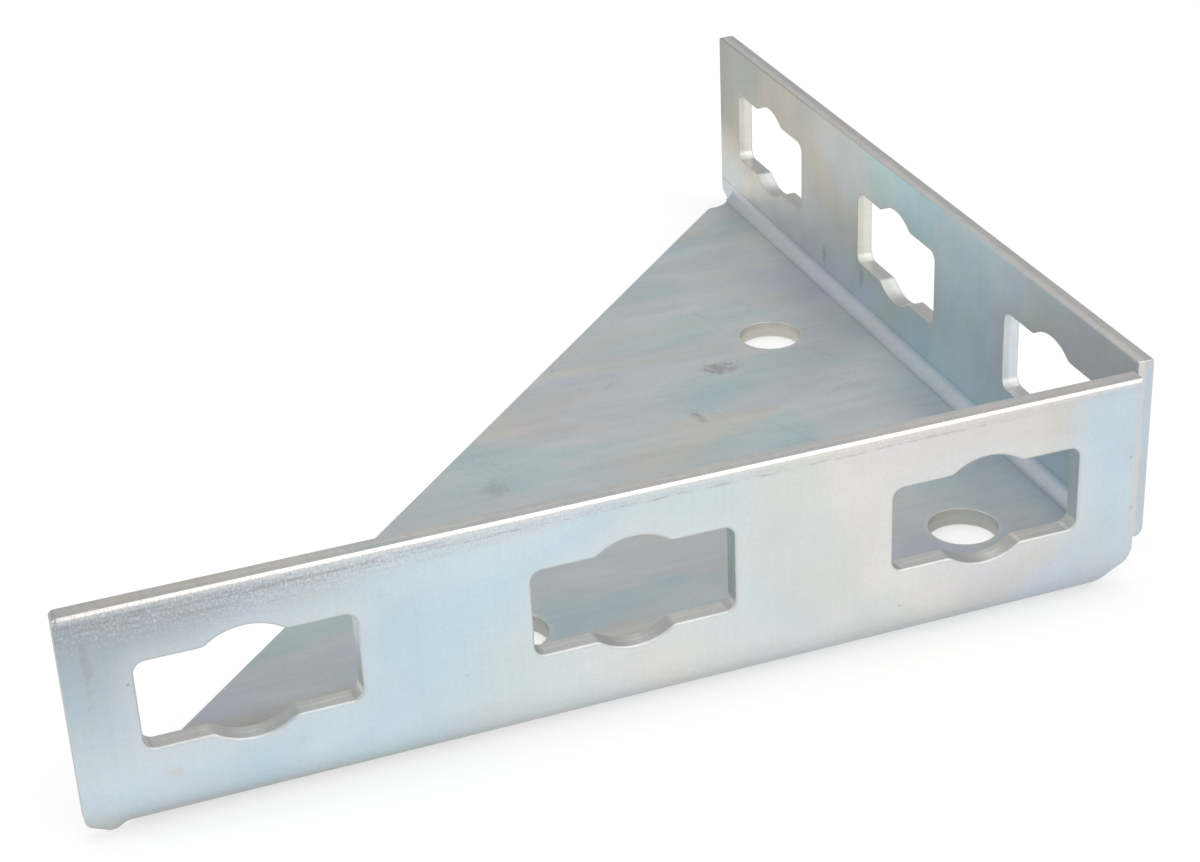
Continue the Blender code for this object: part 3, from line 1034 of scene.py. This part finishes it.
def slot_film(tree, where):
    """The film on the slots' walls: grey on the long ones, teal or warm on the ends. These tones by wall
    stand in for light: painted shade on the greyer long walls and a painted reflection on the paler ends.
    """
    off_middle = (where["Past Fold"] - (outside_bend_radius - slot_line)).math("ABSOLUTE")
    long_wall = off_middle.over(slot_width / 2 - slot_corner_radius, slot_width / 2)
    # Painted reflection: the end walls pale, creamy towards the side flange's free end.
    side_end = blend_colours(tree, where["Along"].over(0.06, 0.13), (0.68, 0.74, 0.76), (0.80, 0.78, 0.69))
    end_wall = blend_colours(tree, where["Front"], side_end, (0.63, 0.70, 0.70))
    # Painted shade: the long walls greyer.
    return blend_colours(tree, long_wall, end_wall, (0.59, 0.595, 0.58))


def finish_cut_edge():
    """The walls that the shear and the punch left: burnished where the tool entered, then torn and rough."""
    tree, shader, place, where = start_finish(cut_edge)
    _, y, depth = split_vector(tree, place)
    by_slot, by_hole = (where[name].under(0.0008, 0.0014) for name in ("Off Slot", "Off Hole"))
    punched = by_slot.math("MAXIMUM", by_hole)
    ragged = noise(tree, place, (160, 160, 160), detail=3.0)
    torn = (depth / sheet_thickness + (ragged - 0.5) * 0.35).over(0.48, 0.64)
    # Painted shade: the hole walls darker towards the front fold, as on the web.
    hole_film = blend_colours(tree, y.over(0.0, 0.10), (0.40, 0.41, 0.39), (0.56, 0.555, 0.50))
    punched_film = blend_colours(tree, by_hole, slot_film(tree, where), hole_film)
    film = blend_colours(tree, punched, sheared_film(tree, where, torn), punched_film)
    bloom = use(tree, zinc_bloom, Place=place, Film=film, Patches_Per_Metre=60.0, Strength=0.6)
    colour = blend_colours(tree, torn * punched * 0.2, bloom["Color"], (0.50, 0.49, 0.44))
    drawn = noise(tree, place, (800, 800, 90), detail=3.0, roughness=0.6)
    plug(tree, shader.inputs["Base Color"], shaded(tree, colour, (drawn - 0.5) * 0.16 + 1))
    plug(tree, shader.inputs["Roughness"], torn * 0.05 + 0.36 + drawn * 0.08)
    height = drawn * (torn * torn_line_height + drawn_line_height) + ragged * torn * fracture_height
    plug(tree, shader.inputs["Normal"], bump(tree, height))


finish_plated_sheet()
finish_cut_edge()

# The studio
# The fitting stands on its web on a white floor, under a soft grey sky. Two broad lamps, overhead and above
# the camera, light the rolled arrises, and a smaller one stands on the left. The camera is in the
# photograph's place.

floor_size = 10.0
floor_drop = 0.0001
floor_colour = (0.92, 0.92, 0.92)
floor_glow = 1.12
floor_glow_share = 0.5
sky_colour = (0.53, 0.53, 0.53)
camera_place = (-0.13543, -0.47137, 0.26827)
camera_degrees = (61.6192, 2.369, -20.4064)
camera_lens = 74.972


def white_floor():
    """A plain white floor, lifted towards white for the eye and in reflections, which keeps the shadow."""
    shape = bmesh.new()
    bmesh.ops.create_grid(shape, x_segments=1, y_segments=1, size=floor_size / 2)
    bmesh.ops.translate(shape, verts=shape.verts, vec=(0, 0, solid_low.z - floor_drop))
    floor = plain_object("white_floor", shape)
    white = bpy.data.materials.new("white_floor")
    white.use_nodes = True
    tree = white.node_tree
    shader = tree.nodes["Principled BSDF"]
    shader.inputs["Base Color"].default_value = (*floor_colour, 1)
    shader.inputs["Roughness"].default_value = 0.9
    shader.inputs["Specular IOR Level"].default_value = 0.0
    glow = tree.nodes.new("ShaderNodeEmission")
    glow.inputs["Strength"].default_value = floor_glow
    path = tree.nodes.new("ShaderNodeLightPath")
    seen = Term(tree, path.outputs["Is Camera Ray"])
    for ray in ("Is Glossy Ray", "Is Transmission Ray"):
        seen = seen.math("MAXIMUM", Term(tree, path.outputs[ray]))
    mix = tree.nodes.new("ShaderNodeMixShader")
    plug(tree, mix.inputs["Fac"], seen * floor_glow_share)
    tree.links.new(shader.outputs["BSDF"], mix.inputs[1])
    tree.links.new(glow.outputs["Emission"], mix.inputs[2])
    tree.links.new(mix.outputs["Shader"], tree.nodes["Material Output"].inputs["Surface"])
    floor.data.materials.append(white)


def soft_lamp(name, place, size, watts, tint):
    """A square lamp that faces the fitting."""
    light = bpy.data.lights.new(name, "AREA")
    light.size = size
    light.energy = watts
    light.color = tint
    lamp = bpy.data.objects.new(name, light)
    lamp.location = place
    lamp.rotation_euler = (-Vector(place)).to_track_quat("-Z", "Y").to_euler()
    bpy.context.scene.collection.objects.link(lamp)


def soft_sky():
    """An even grey sky."""
    world = bpy.data.worlds.new("soft_sky")
    world.use_nodes = True
    world.node_tree.nodes["Background"].inputs["Color"].default_value = (*sky_colour, 1)
    bpy.context.scene.world = world


def photograph_camera():
    """The camera at the photograph's place."""
    lens = bpy.data.cameras.new("camera")
    lens.sensor_width = 36
    lens.lens = camera_lens
    lens.clip_start = 0.01
    camera = bpy.data.objects.new("camera", lens)
    camera.location = camera_place
    camera.rotation_euler = [math.radians(angle) for angle in camera_degrees]
    bpy.context.scene.collection.objects.link(camera)
    bpy.context.scene.camera = camera


white_floor()
soft_sky()
soft_lamp("lamp_above_camera", place=(0.5, -1.05, 0.95), size=1.6, watts=10.5, tint=(1.0, 0.98, 0.95))
soft_lamp("lamp_overhead", place=(0.3, 0.25, 1.4), size=1.3, watts=6.4, tint=(1.0, 0.99, 0.97))
soft_lamp("lamp_from_left", place=(-1.4, 0.1, 0.9), size=0.8, watts=6.0, tint=(1.0, 1.0, 1.0))
photograph_camera()
bpy.context.scene.view_settings.view_transform = "Standard"
